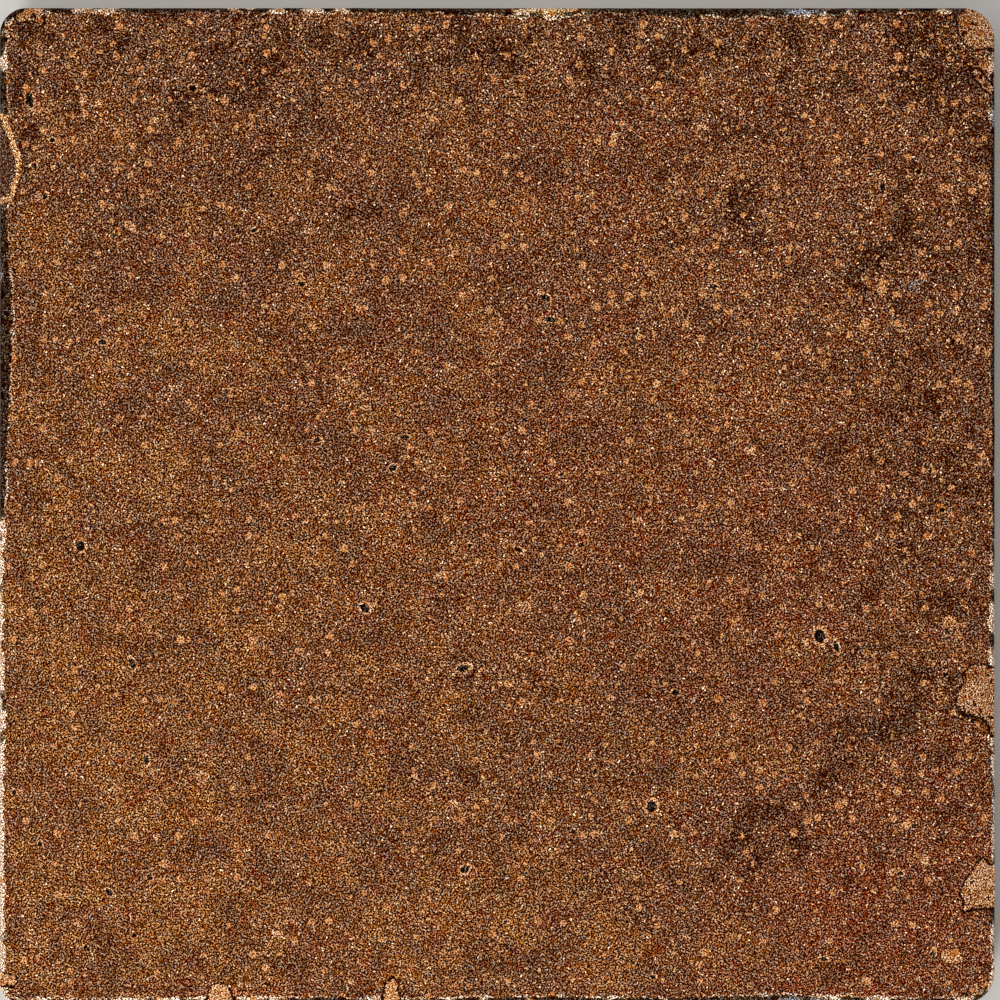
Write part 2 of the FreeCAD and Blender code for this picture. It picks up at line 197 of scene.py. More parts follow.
# Soft patches of colour: place, half sizes, turn in degrees, strength.
PATCHES = {
    "dark": (
        (-54.6, 82.4, 16, 9, 0, 0.6), (43.8, 60.3, 9, 12, 20, 0.8), (78.9, 47.3, 12, 9, 0, 0.6),
        (80.9, 1.1, 9, 12, 0, 0.6), (84.9, -35.0, 10, 8, 30, 0.6), (70.9, -49.1, 12, 7, 40, 0.7),
        (52.8, -67.2, 13, 7, 30, 0.9), (88.2, 93.5, 3.4, 5.5, 0, 2.0), (-95.0, 84.0, 3, 12, 0, 0.8),
        (-22.0, 60.0, 20, 7, 10, 0.35), (84.0, 92.0, 11, 9, 0, 0.35), (-5.0, -55.0, 18, 6, 20, 0.25),
        (10.0, 90.0, 60, 6, 0, 0.35), (96.6, -43.0, 1.6, 1.8, 0, 0.9), (93.0, 87.0, 2.6, 4.0, 40, 0.9),
        # The last two patches, along the back and the right side, are painted shade that darkens the face
        # there.
        (-96.0, 68.0, 2, 6, 0, 0.5), (-1.8, -92.0, 5, 4, 0, 0.5), (0.0, 106.0, 180, 26, 0, 0.7),
        (106.0, 40.0, 34, 110, 0, 0.8),
    ),
    "ochre": (
        (6.6, 57.3, 5, 7, 0, 0.9), (36.7, 27.2, 9, 6, 0, 0.8), (49.8, 16.2, 7, 8, 0, 0.7),
        (-60.6, 28.2, 9, 7, 0, 0.6), (31.7, 3.1, 7, 5, 0, 0.6), (-6.4, -80.2, 9, 11, 10, 0.7),
        (-65.7, -85.2, 12, 8, -15, 0.8), (63.9, -30.0, 6, 6, 0, 0.4), (-88.0, 76.0, 5, 4, 0, 0.5),
        (-80.0, -55.0, 26, 45, 0, 0.6), (-40.0, -30.0, 50, 60, -30, 0.5), (-92.0, 20.0, 12, 60, 0, 0.4),
        (11.0, 98.4, 6, 1.4, 0, 1.4), (-20.0, -90.0, 60, 12, 0, 0.4),
    ),
    "red": (
        (78.0, -80.0, 30, 30, 0, 1.0), (60.0, -10.0, 40, 30, 0, 0.5), (90.0, 60.0, 25, 45, 0, 0.4),
        (0.0, 0.0, 30, 20, 20, 0.25), (93.0, -60.0, 6, 14, 0, 0.5), (33.0, 78.0, 30, 14, 0, 0.35),
        (20.0, 50.0, 60, 30, 0, 0.25),
    ),
    "grey": (
        # Grey spots, most of them at the edges, are a painted reflection of the sky on glassy clay.
        (60.2, 99.2, 4.6, 0.8, 0, 1.3), (59.8, -99.6, 5.0, 0.8, 0, 1.2), (99.7, 78.0, 0.7, 1.8, 0, 1.2),
        (-99.6, 46.7, 0.6, 0.8, 0, 1.6), (-27.0, -99.4, 1.2, 0.7, 0, 1.0),
        (83.4, 44.0, 1.2, 0.9, 30, 0.6),
    ),
    "yellow": (
        (9.8, 99.3, 7.0, 0.35, 0, 1.6), (10.4, 98.6, 2.2, 0.5, 0, 0.9),
    ),
    "flaked": (
        (60.0, 60.0, 60, 45, 0, 0.5), (90.0, -33.0, 2.4, 4.0, 0, 1.2), (94.5, -98.0, 3.0, 1.6, 0, 1.3),
        (-20.0, 92.0, 80, 10, 0, 0.4), (84.0, -68.0, 7, 5, 0, 0.5), (-88.0, 79.0, 8, 4, 0, 0.6),
        (-94.0, -92.0, 5, 5, 0, 1.0), (-70.0, -60.0, 40, 50, 0, -0.3),
    ),
}

# The ridge at the worn rim's inner edge, along each side, from a dark line at -1 to a pale one at 1. The
# pale line is worn clay and partly a painted highlight where the edge catches the light.
RIDGE_TONE = {
    "left": (
        (-96, 0.2), (-60, 0.2), (-45, 0.5), (-5, 0.4), (6, 0.7), (38, 0.8), (56, 0.4), (76, 0.9), (94, 0.9),
    ),
    "right": ((-96, 0.2), (-72, -0.9), (-50, -0.7), (-40, 0.3), (-16, 0.6), (4, 0.1), (60, 0.0), (92, 0.4)),
    "front": ((-96, 1.0), (-44, 1.0), (-34, 0.8), (0, 0.9), (24, 1.0), (48, 0.8), (96, 0.9)),
    "back": (
        (-92, 0.4), (-64, 0.0), (-40, 0.5), (-12, 0.3), (2, 0.9), (14, 0.9), (24, 0.3), (50, 0.5),
        (92, 0.3),
    ),
}

# The worn rim's tone along each side, from dark at -1, old dirt together with painted shade where the rim
# falls away from the face, to pale clean clay at 1.
RIM_TONE = {
    "left": (
        (-94, 0.7), (-55, 0.9), (-47, 0.3), (-40, 0.2), (-34, 0.8), (-26, 0.8), (-10, 0.5), (-5, 0.3),
        (2, -0.9), (46, -1.0), (60, -0.5), (68, -0.3), (76, -0.9), (86, -0.6), (90, 0.3), (96, -0.3),
    ),
    "right": (
        (-96, 0.5), (-80, 0.1), (-70, -0.2), (-62, 0.5), (-50, 0.4), (-36, 0.3), (-28, 0.3), (-16, 0.4),
        (-8, -0.2), (0, -0.6), (20, -0.7), (60, -0.8), (76, -0.7), (88, 0.0), (96, 0.3),
    ),
    "front": (
        (-96, 0.2), (-54, 0.1), (-44, -0.2), (-38, -0.9), (-34, -0.4), (-30, -0.8), (-24, -0.2),
        (-10, -0.2), (-4, -0.6), (18, -0.5), (26, -0.2), (31, -0.8), (37, -0.4), (50, -0.7), (62, -0.6),
        (72, -0.2), (90, -0.5), (96, -0.2),
    ),
    "back": (
        (-92, -0.5), (-84, 0.2), (-74, 0.0), (-70, -0.9), (-60, -0.7), (-52, -0.1), (-30, 0.0),
        (-20, -0.7), (2, -0.8), (6, 0.3), (14, 0.5), (18, -0.6), (24, -0.8), (46, -0.9), (62, -0.6),
        (74, -0.3), (84, -0.7), (92, 0.2),
    ),
}

# Pale grains of grog all through the clay, the large ones first: how far apart they lie, their least and
# greatest radius, the share of places that hold one, and how strongly the palest of them shows.
FLECKS = ((3.0, 0.35, 1.05, 0.55, 1.0), (1.6, 0.20, 0.55, 0.50, 0.9))

# Small specks, in the same way, without a strength. There are more of them on a grain of grog.
SPECKS = (0.7, 0.12, 0.24, 0.25)

GAMMA = 2.2  # turns a colour as the eye sees it into an amount of light
GRAIN_TINT = (0.95, 1.4, 1.85)  # how far a sand grain moves red, green and blue
DEEPENING = (-0.12, -0.395, -0.72)  # how much deeper the clay is between its sand grains
DARKEST = (0.09, 0.01, 0.0)  # no clay is darker than this, other than in the pits

# The soft lights, by name: place and width, in metres. They look at the tile.
LIGHTS = {"key_light": ((-0.45, -0.9, 0.85), 0.5), "fill_light": ((-0.3, 0.4, 1.2), 1.2)}


def srgb(red, green, blue):
    """A colour as a screen shows it, from 0 to 255, in Blender's own linear values."""
    shares = [value / 255 for value in (red, green, blue)]
    return tuple(s / 12.92 if s <= 0.04045 else ((s + 0.055) / 1.055) ** 2.4 for s in shares)


def length(name, description, default, **limits):
    """A property for a size, in metres, from millimetres."""
    return FloatProperty(name=name, description=description, default=default * MM, unit="LENGTH", **limits)


def colour(name, description, red, green, blue):
    """A property for a colour, as a screen shows it."""
    named = {"name": name, "description": description, "default": srgb(red, green, blue)}
    return FloatVectorProperty(subtype="COLOR", min=0, max=1, **named)


class TileSettings(bpy.types.PropertyGroup):
    """What a user would change on the tile."""

    mesh_spacing: length("Mesh spacing", "Distance between the lines of the walking face's mesh", 1.8)
    rim_band: length("Rim band", "Width of the band along the rim where the mesh is fine", 7.0)
    rim_height: length("Rim height", "How far down the side a fully worn rim reaches", 1.5)
    rim_wander: length("Rim wander", "How far the edge of the worn rim strays from its drawn width", 0.35)
    side_draft: FloatProperty(
        name="Side draft",
        description="How far the sides lean in towards the back",
        default=math.radians(2),
        subtype="ANGLE",
    )
    back_round: length("Back edge round", "Radius of the edge round the back", 0.8)
    wave_depth: length("Wave depth", "Depth of the hollows in the walking face", 0.16)
    wave_length: length("Wave length", "Distance from hollow to hollow in the walking face", 26.0)
    skin_relief: length("Skin relief", "Depth of the uneven skin on the sides and the rim", 0.14)
    key_count: IntProperty(name="Keys", description="Number of key grooves in the back", default=12, min=0)
    key_pitch: length("Key pitch", "Distance from groove to groove", 16.0)
    key_width: length("Key width", "Width of a groove's mouth", 8.0)
    key_depth: length("Key depth", "Depth of a groove", 1.2)
    key_flank: FloatProperty(
        name="Key flank",
        description="Lean of a groove's sides from upright",
        default=math.radians(25),
        subtype="ANGLE",
    )
    pore_spacing: length("Pore spacing", "Least distance between two of the small pores", 3.6)
    pore_radius: length("Pore radius", "Radius of a middling small pore", 0.24)
    seed: IntProperty(name="Seed", description="Picks where the small pores lie", default=7)


class ClaySettings(bpy.types.PropertyGroup):
    """The colours and the grain of the fired clay."""

    clay: colour("Clay", "The body of the walking face", 74, 23, 2)
    ochre: colour("Ochre", "Where the clay fired yellower", 126, 65, 7)
    red: colour("Red", "Where the clay fired redder", 100, 18, 0)
    # Old dirt, and also painted shade: the dark bands along the back and the right side, and the dark line
    # along a clean chip's edge.
    stain_and_shade: colour("Stain", "Old dirt", 46, 12, 2)
    fleck: colour("Fleck", "Grog and flaked spots", 186, 132, 92)
    # Also the pale specks in the pits, which are painted glints.
    fleck_light: colour("Fleck, light", "The lightest of the grog", 222, 186, 150)
    broken: colour("Broken", "Clean broken clay", 152, 88, 34)
    # Also the pale ridge along the rim, partly a painted highlight.
    broken_light: colour("Broken, light", "The lightest of the clean broken clay", 206, 150, 90)
    # Painted reflection of the sky on glassy spots.
    grey: colour("Grey", "Glassy grey spots", 138, 134, 146)
    yellow: colour("Yellow", "A streak of yellow slip", 224, 158, 60)
    # Also the dark end of the worn rim, where it stands for dirt and painted shade.
    pit: colour("Pit", "The inside of the pits", 16, 10, 8)
    grain_contrast: FloatProperty(
        name="Grain contrast",
        description="How far sand grains stand out",
        default=1.0,
    )
    crystal_contrast: FloatProperty(
        name="Crystal contrast",
        description="How far each sand grain differs from the next",
        default=0.4,
    )
    grain_height: length("Grain height", "Relief of the sand grains", 0.05)
    skin_height: length("Skin height", "Relief of the clay skin between them", 0.12)


class StudioSettings(bpy.types.PropertyGroup):
    """The camera, the floor and the lights."""

    lens: FloatProperty(name="Lens", description="Focal length of the camera, in millimetres", default=120)
    view_width: length("View width", "Width of the walking face's plane that the camera takes in", 200.4)
    view_right: length("View right", "How far the camera stands to the right of the tile's middle", 0.60)
    view_back: length("View back", "How far the camera stands behind the tile's middle", 1.10)
    floor_reach: length("Floor reach", "How far the floor reaches from the tile's middle", 3000.0)
    floor_colour: colour("Floor", "Colour of the studio floor", 222, 219, 214)
    key_light: FloatProperty(name="Key light", description="Power of the main soft light", default=9.0)
    fill_light: FloatProperty(name="Fill light", description="Power of the overhead light", default=6.0)
    sky: FloatProperty(name="Sky", description="Strength of the white light from all sides", default=0.35)


def smooth(share):
    """Eases a share between 0 and 1, so that it starts and ends gently."""
    share = np.clip(share, 0, 1)
    return share * share * (3 - 2 * share)


def wander(place, step, seed):
    """A smooth random line between -1 and 1, with a new value at every step along it."""
    values = np.random.RandomState(seed).uniform(-1, 1, 1024)
    at = np.asarray(place, float) / step + 400
    low = np.floor(at).astype(int)
    share = smooth(at - low)
    return values[low % 1024] * (1 - share) + values[(low + 1) % 1024] * share


def rim_distance(x, y):
    """How far points lie inside the tile's outline."""
    inside = np.minimum(HALF_LENGTH - abs(x), HALF_WIDTH - abs(y))
    for (side_x, side_y), radius in CORNERS.items():
        across = side_x * x - (HALF_LENGTH - radius)
        along = side_y * y - (HALF_WIDTH - radius)
        inside = np.where((across > 0) & (along > 0), radius - np.hypot(across, along), inside)
    return inside


def along_rim(x, y, table, stray):
    """What a table along the four sides says beside each point. Near a corner the two sides share it."""
    def beside(side, place, seed):
        drawn = np.interp(place, *zip(*table[side]))
        return drawn + stray * (0.7 * wander(place, 2.6, seed) + 0.45 * wander(place, 0.9, seed + 1))

    from_x, from_y = HALF_LENGTH - abs(x), HALF_WIDTH - abs(y)
    share = smooth((from_y / np.maximum(from_x + from_y, 1e-9) - 0.25) * 2)
    by_x = np.where(x < 0, beside("left", y, 11), beside("right", y, 21))
    by_y = np.where(y < 0, beside("front", x, 31), beside("back", x, 41))
    return by_x * share + by_y * (1 - share)


def worn_width(x, y, stray):
    """How wide the rim is worn beside each point."""
    least = 0.15
    return np.maximum(along_rim(x, y, WORN_WIDTH, stray), least)


def grid_lines(half, band, spacing):
    """The places of the mesh's lines across the walking face, closer together towards the rim."""
    steps, crowding = 16, 1.5
    fine = band * (np.arange(steps) / steps) ** crowding
    inner = half - band
    middle = np.linspace(-inner, inner, round(2 * inner / spacing) + 1)
    return np.concatenate([fine - half, middle, (half - fine)[::-1]])


def bend_corners(x, y):
    """Bends a square grid's corners, so that its lines follow the round corners of the outline."""
    for (side_x, side_y), radius in CORNERS.items():
        across = side_x * x - (HALF_LENGTH - radius)
        along = side_y * y - (HALF_WIDTH - radius)
        inside = (across > 0) & (along > 0)
        shrink = np.maximum(across, along) / np.maximum(np.hypot(across, along), 1e-9)
        x = np.where(inside, side_x * (HALF_LENGTH - radius + across * shrink), x)
        y = np.where(inside, side_y * (HALF_WIDTH - radius + along * shrink), y)
    return x, y


def outward(x, y):
    """The direction straight out to the nearest side, or out of the middle of a round corner."""
    nearer_x = HALF_LENGTH - abs(x) < HALF_WIDTH - abs(y)
    out_x = np.where(nearer_x, np.sign(x), 0.0)
    out_y = np.where(nearer_x, 0.0, np.sign(y))
    for (side_x, side_y), radius in CORNERS.items():
        across = side_x * x - (HALF_LENGTH - radius)
        along = side_y * y - (HALF_WIDTH - radius)
        corner = (across > 0) & (along > 0)
        out_x = np.where(corner, side_x * across, out_x)
        out_y = np.where(corner, side_y * along, out_y)
    size = np.maximum(np.hypot(out_x, out_y), 1e-9)
    return out_x / size, out_y / size


def slab_mesh(settings):
    """The plain slab: walking face, worn rim, sides that lean in, and a back with a small round edge."""
    spacing, band = settings.mesh_spacing / MM, settings.rim_band / MM
    least_drop, drop_by_width, side_rows = 0.35, 0.85, 12
    lines_x = grid_lines(HALF_LENGTH, band, spacing)
    lines_y = grid_lines(HALF_WIDTH, band, spacing)
    x, y = bend_corners(*np.meshgrid(lines_x, lines_y, indexing="ij"))
    worn = worn_width(x, y, settings.rim_wander / MM)
    height = np.minimum(settings.rim_height / MM, least_drop + drop_by_width * worn)
    share = np.clip(1 - rim_distance(x, y) / worn, 0, 1)
    z = FACE - height * (1 - np.sqrt(1 - share**2))
    count_x, count_y = x.shape
    points = [np.stack([x, y, z], -1).reshape(-1, 3)]
    at = np.arange(count_x * count_y).reshape(count_x, count_y)
    faces = np.stack([at[:-1, :-1], at[1:, :-1], at[1:, 1:], at[:-1, 1:]], -1).reshape(-1, 4).tolist()

    ring = np.concatenate([at[:-1, 0], at[-1, :-1], at[:0:-1, -1], at[0, :0:-1]])
    ring_x, ring_y, ring_z = points[0][ring].T
    out_x, out_y = outward(ring_x, ring_y)
    back = settings.back_round / MM
    lean = math.tan(settings.side_draft)
    rows = [(share, 0.0) for share in np.linspace(0, 1, side_rows + 1)[1:]]
    rows += [(1.0, angle) for angle in np.radians([22.5, 45, 67.5, 90])]
    above = ring
    for share, angle in rows:
        low = back * (1 - math.sin(angle))
        level = ring_z + (low - ring_z) * share
        inset = lean * (FACE - level) + back * (1 - math.cos(angle))
        here = at.size + sum(len(block) for block in points[1:]) + np.arange(len(ring))
        points.append(np.stack([ring_x - out_x * inset, ring_y - out_y * inset, level], -1))
        after, above_after = np.roll(here, -1), np.roll(above, -1)
        faces += np.stack([above, here, after, above_after], -1).tolist()
        above = here
    faces.append(above[::-1].tolist())
    mesh = bpy.data.meshes.new("slab")
    mesh.from_pydata((np.concatenate(points) * MM).tolist(), [], faces)
    mesh.validate()
    return mesh


def fine_outline(corners, step, stray, seed):
    """A chip's outline with a point at every step along it, each strayed a little, as a break is."""
    long_stray, short_stray, short_share, apart = 1.1, 0.45, 0.5, 7.3
    points = []
    for start, end in zip(corners, corners[1:] + corners[:1]):
        start, end = Vector(start), Vector(end)
        pieces = max(1, round((end - start).length / step))
        points += [start.lerp(end, piece / pieces) for piece in range(pieces)]
    strayed = []
    for point in points:
        place = Vector((*point, seed * apart))
        shift = noise.noise_vector(place / long_stray)
        shift += noise.noise_vector(place / short_stray) * short_share
        strayed.append(point + shift.xy * stray)
    return strayed


def chip_outlines():
    """Every chip's ragged outline, in the order of the table."""
    step, stray = 0.35, 0.28
    outlines = enumerate((corners for corners, *_ in CHIPS.values()), 1)
    return [fine_outline(corners, step, stray, seed) for seed, corners in outlines]


def inside_chip(x, y):
    """How far points lie from the nearest chip's outline. It is a large number far from every chip."""
    far_off = 9.0
    nearest = np.full_like(x, far_off)
    for outline in chip_outlines():
        starts = np.array([tuple(point) for point in outline])
        runs = np.roll(starts, -1, 0) - starts
        low, high = starts.min(0), starts.max(0)
        near = (x > low[0]) & (x < high[0]) & (y > low[1]) & (y < high[1])
        from_start = np.stack([x[near], y[near]], -1)[:, None] - starts
        share = np.clip((from_start * runs).sum(-1) / np.maximum((runs**2).sum(-1), 1e-9), 0, 1)
        gaps = np.linalg.norm(from_start - share[..., None] * runs, axis=-1).min(1)
        nearest[near] = np.minimum(nearest[near], gaps)
    return nearest


def chip_cutter(name, rim, step_down, fall, way, clean, seed):
    """A solid in a chip's shape: its floor is the broken surface, and its lid lies over the face."""
    pitch, jitter, lid, least_depth, apart = 0.5, 0.4, 1.5, 0.06, 3.1
    ripple_length, ripple_depth, bump_length, bump_depth = 2.4, 0.22, 0.7, 0.05
    way = Vector(way).normalized()
    start = min(point.dot(way) for point in rim)
    low_x, high_x = min(point.x for point in rim), max(point.x for point in rim)
    low_y, high_y = min(point.y for point in rim), max(point.y for point in rim)
    inner = []
    for column in range(int((high_x - low_x) / pitch)):
        for row in range(int((high_y - low_y) / pitch)):
            spot = Vector((low_x + (column + 0.5) * pitch, low_y + (row + 0.5) * pitch))
            spot += noise.noise_vector(Vector((*spot, seed))).xy * pitch * jitter
            inner.append(spot)
    edges = [(point, (point + 1) % len(rim)) for point in range(len(rim))]
    flat, _, triangles, *_ = geometry.delaunay_2d_cdt(rim + inner, edges, [], 1, 1e-5)
    mesh = bmesh.new()
    broken = mesh.faces.layers.float.new("broken")
    floor, top = [], []
    for spot in flat:
        place = Vector((*spot, seed * apart))
        ripple = noise.fractal(place / ripple_length, 1.0, 2.0, 3) * ripple_depth
        ripple += noise.noise(place / bump_length) * bump_depth
        depth = max(step_down + fall * (spot.dot(way) - start) + ripple, least_depth)
        floor.append(mesh.verts.new((spot.x * MM, spot.y * MM, (FACE - depth) * MM)))
        top.append(mesh.verts.new((spot.x * MM, spot.y * MM, (FACE + lid) * MM)))
    borders = {}
    for triangle in triangles:
        mesh.faces.new([floor[corner] for corner in reversed(triangle)])
        mesh.faces.new([top[corner] for corner in triangle])
        for start_at, end_at in zip(triangle, triangle[1:] + triangle[:1]):
            borders[start_at, end_at] = (start_at, end_at)
    for start_at, end_at in borders:
        if (end_at, start_at) not in borders:
            mesh.faces.new((floor[start_at], floor[end_at], top[end_at], top[start_at]))
    loose = [vertex for vertex in mesh.verts if not vertex.link_faces]
    bmesh.ops.delete(mesh, geom=loose, context="VERTS")
    for face in mesh.faces:
        face[broken] = 0.5 + clean / 2
    bmesh.ops.recalc_face_normals(mesh, faces=mesh.faces[:])
    result = bpy.data.meshes.new(f"chip_{name}")
    mesh.to_mesh(result)
    mesh.free()
    return result


def scratch_object(name, mesh):
    """An object that only feeds a node tree, and is removed after."""
    thing = bpy.data.objects.new(name, mesh)
    bpy.context.scene.collection.objects.link(thing)
    return thing


def all_chips():
    """Every chip's cutter, in one object. They don't touch each other."""
    mesh = bmesh.new()
    for seed, ((name, (_, *values)), outline) in enumerate(zip(CHIPS.items(), chip_outlines()), 1):
        single = chip_cutter(name, outline, *values, seed)
        mesh.from_mesh(single)
        bpy.data.meshes.remove(single)
    joined = bpy.data.meshes.new("chips")
    mesh.to_mesh(joined)
    mesh.free()
    return scratch_object("chips", joined)


def spots(name, table):
    """Points on the walking face, each with the half sizes, turn and depth of the hollow cut there."""
    mesh = bpy.data.meshes.new(name)
    mesh.from_pydata([(x * MM, y * MM, FACE * MM) for x, y, *_ in table], [], [])
    mesh.attributes.new("reach", "FLOAT_VECTOR", "POINT")
    mesh.attributes.new("turn", "FLOAT", "POINT")
    for place, (_, _, across, along, degrees, depth) in enumerate(table):
        mesh.attributes["reach"].data[place].vector = (across * MM, along * MM, depth * MM)
        mesh.attributes["turn"].data[place].value = math.radians(degrees)
    return scratch_object(name, mesh)


class Nodes:
    """Adds nodes to a tree. An input is a plain value or the output that feeds it."""

    def __init__(self, tree):
        self.tree = tree

    def add(self, kind, *values, named=None, out=0, **settings):
        """Adds a node and returns one of its outputs. Values go to its inputs in order; None skips one."""
        node = self.tree.nodes.new(kind)
        for name, value in settings.items():
            setattr(node, name, value)
        wanted = [(node.inputs[place], value) for place, value in enumerate(values) if value is not None]
        wanted += [(node.inputs[name], value) for name, value in (named or {}).items()]
        for socket, value in wanted:
            if isinstance(value, bpy.types.NodeSocket):
                self.tree.links.new(value, socket)
            else:
                socket.default_value = value
        return node.outputs[out] if node.outputs else node

    def math(self, operation, *values, clamp=False):
        return self.add("ShaderNodeMath", *values, operation=operation, use_clamp=clamp)

    def chain(self, operation, values):
        """Joins any number of values by one operation, in order."""
        result, *others = values
        for other in others:
            result = self.math(operation, result, other)
        return result

    def times(self, *values):
        return self.chain("MULTIPLY", values)

    def plus(self, *values):
        return self.chain("ADD", values)

    def most(self, *values):
        return self.chain("MAXIMUM", values)

    def rest(self, share):
        """What a share lacks to be one."""
        return self.math("SUBTRACT", 1.0, share)

    def line(self, value, slope, start):
        """A value times a slope, plus a start."""
        return self.math("MULTIPLY_ADD", value, slope, start)

    def vector(self, operation, *values, out=0):
        return self.add("ShaderNodeVectorMath", *values, operation=operation, out=out)

    def scaled(self, vector, size):
        """A vector times a plain number."""
        return self.add("ShaderNodeVectorMath", vector, named={"Scale": size}, operation="SCALE")

    def parts(self, vector):
        """The outputs X, Y and Z that a vector splits into."""
        return self.add("ShaderNodeSeparateXYZ", vector).node.outputs

    def noise(self, place, size, detail, roughness, flat=False, out=0):
        """Noise with forms of about the given size. Flat noise looks at two coordinates only."""
        scale = self.math("DIVIDE", 1.0, size) if isinstance(size, bpy.types.NodeSocket) else 1 / size
        values = {"Vector": place, "Scale": scale, "Detail": detail, "Roughness": roughness}
        dimensions = "2D" if flat else "3D"
        return self.add("ShaderNodeTexNoise", named=values, out=out, noise_dimensions=dimensions)

    def ramp(self, value, low, high, start=0.0, end=1.0):
        """Eases a value from one range to another. Noise lies mostly between 0.3 and 0.7."""
        named = {"Value": value, "From Min": low, "From Max": high, "To Min": start, "To Max": end}
        return self.add("ShaderNodeMapRange", named=named, interpolation_type="SMOOTHSTEP")

    def fade(self, value, low, high):
        """Eases from one down to nothing."""
        return self.ramp(value, low, high, 1.0, 0.0)

    def mix(self, share, first, second):
        """Mixes two colours."""
        share_input, first_input, second_input, colour_output = 0, 6, 7, 2
        node = self.tree.nodes.new("ShaderNodeMix")
        node.data_type, node.clamp_factor = "RGBA", True
        for place, value in ((share_input, share), (first_input, first), (second_input, second)):
            if isinstance(value, bpy.types.NodeSocket):
                self.tree.links.new(value, node.inputs[place])
            else:
                node.inputs[place].default_value = value if place == share_input else (*value[:3], 1)
        return node.outputs[colour_output]

    def store(self, geometry, name, value, kind, domain):
        """Stores a named attribute on a geometry."""
        named = {"Geometry": geometry, "Name": name, "Value": value}
        return self.add("GeometryNodeStoreNamedAttribute", named=named, data_type=kind, domain=domain)

    def moved(self, geometry, offset):
        return self.add("GeometryNodeSetPosition", named={"Geometry": geometry, "Offset": offset})


def new_tree(name, kind, inputs, outputs):
    """A node group with named sockets, its helper, its input node and its output node."""
    tree = bpy.data.node_groups.new(name, kind)
    for direction, sockets in (("INPUT", inputs), ("OUTPUT", outputs)):
        for label, (socket_kind, default) in sockets.items():
            socket_type = f"NodeSocket{socket_kind}"
            socket = tree.interface.new_socket(label, in_out=direction, socket_type=socket_type)
            if default is not None:
                socket.default_value = default
    nodes = Nodes(tree)
    given = tree.nodes.new("NodeGroupInput")
    result = tree.nodes.new("NodeGroupOutput")
    return tree, nodes, given.outputs, result.inputs


def scoop_tree():
    """Geometry nodes: a ragged round solid at each point, as large, deep and turned as the point says."""
    inputs = {
        "Points": ("Geometry", None),
        "Spread": ("Vector", (1, 1, 1)),
        "Detail": ("Int", 3),
        "Ragged": ("Float", 0.0001),
        "Ragged Size": ("Float", 0.001),
        "Broken": ("Float", 0.0),
        "Hollow": ("Float", 0.0),
    }
    outputs = {"Mesh": ("Geometry", None)}
    _, nodes, given, result = new_tree("Scoops", "GeometryNodeTree", inputs, outputs)
    ball = nodes.add("GeometryNodeMeshIcoSphere", 1.0, given["Detail"])
    reach = nodes.add("GeometryNodeInputNamedAttribute", "reach", data_type="FLOAT_VECTOR")
    reach = nodes.vector("MULTIPLY", reach, given["Spread"])
    turn = nodes.add("GeometryNodeInputNamedAttribute", "turn", data_type="FLOAT")
    turned = nodes.add("FunctionNodeAxisAngleToRotation", (0, 0, 1), turn)
    placed = nodes.add(
        "GeometryNodeInstanceOnPoints",
        named={"Points": given["Points"], "Instance": ball, "Rotation": turned, "Scale": reach},
    )
    solid = nodes.add("GeometryNodeRealizeInstances", placed)
    place = nodes.add("GeometryNodeInputPosition")
    rough = nodes.noise(place, given["Ragged Size"], 2.0, 0.6, out=1)
    centred = nodes.vector("SUBTRACT", rough, (0.5, 0.5, 0.5))
    ragged = nodes.moved(solid, nodes.scaled(centred, given["Ragged"]))
    for label in ("Broken", "Hollow"):
        ragged = nodes.store(ragged, label.lower(), given[label], "FLOAT", "FACE")
    nodes.tree.links.new(ragged, result["Mesh"])
    return nodes.tree


def key_tree():
    """Geometry nodes: a row of bars with sloping sides, in the shape of the back's key grooves."""
    inputs = {
        "Count": ("Int", 12),
        "Pitch": ("Float", 0.016),
        "Width": ("Float", 0.008),
        "Depth": ("Float", 0.0012),
        "Flank": ("Float", 0.4),
        "Length": ("Float", 0.22),
    }
    outputs = {"Mesh": ("Geometry", None)}
    tree, nodes, given, result = new_tree("Key Bars", "GeometryNodeTree", inputs, outputs)
    height = nodes.times(given["Depth"], 2.0)
    size = nodes.add("ShaderNodeCombineXYZ", given["Width"], given["Length"], height)
    bar = nodes.add("GeometryNodeMeshCube", size)
    half_width = nodes.math("DIVIDE", given["Width"], 2.0)
    slope = nodes.math("DIVIDE", nodes.math("TANGENT", given["Flank"]), half_width)
    parts = nodes.parts(nodes.add("GeometryNodeInputPosition"))
    across = nodes.times(parts["X"], nodes.rest(nodes.times(parts["Z"], slope)))
    leaning = nodes.add("ShaderNodeCombineXYZ", across, parts["Y"], parts["Z"])
    bar = nodes.add("GeometryNodeSetPosition", named={"Geometry": bar, "Position": leaning})
    gaps = nodes.math("SUBTRACT", given["Count"], 1.0)
    start = nodes.add("ShaderNodeCombineXYZ", nodes.times(gaps, given["Pitch"], -0.5))
    step = nodes.add("ShaderNodeCombineXYZ", given["Pitch"])
    row = nodes.add("GeometryNodeMeshLine", given["Count"], None, start, step)
    bars = nodes.add("GeometryNodeInstanceOnPoints", named={"Points": row, "Instance": bar})
    tree.links.new(nodes.add("GeometryNodeRealizeInstances", bars), result["Mesh"])
    return tree


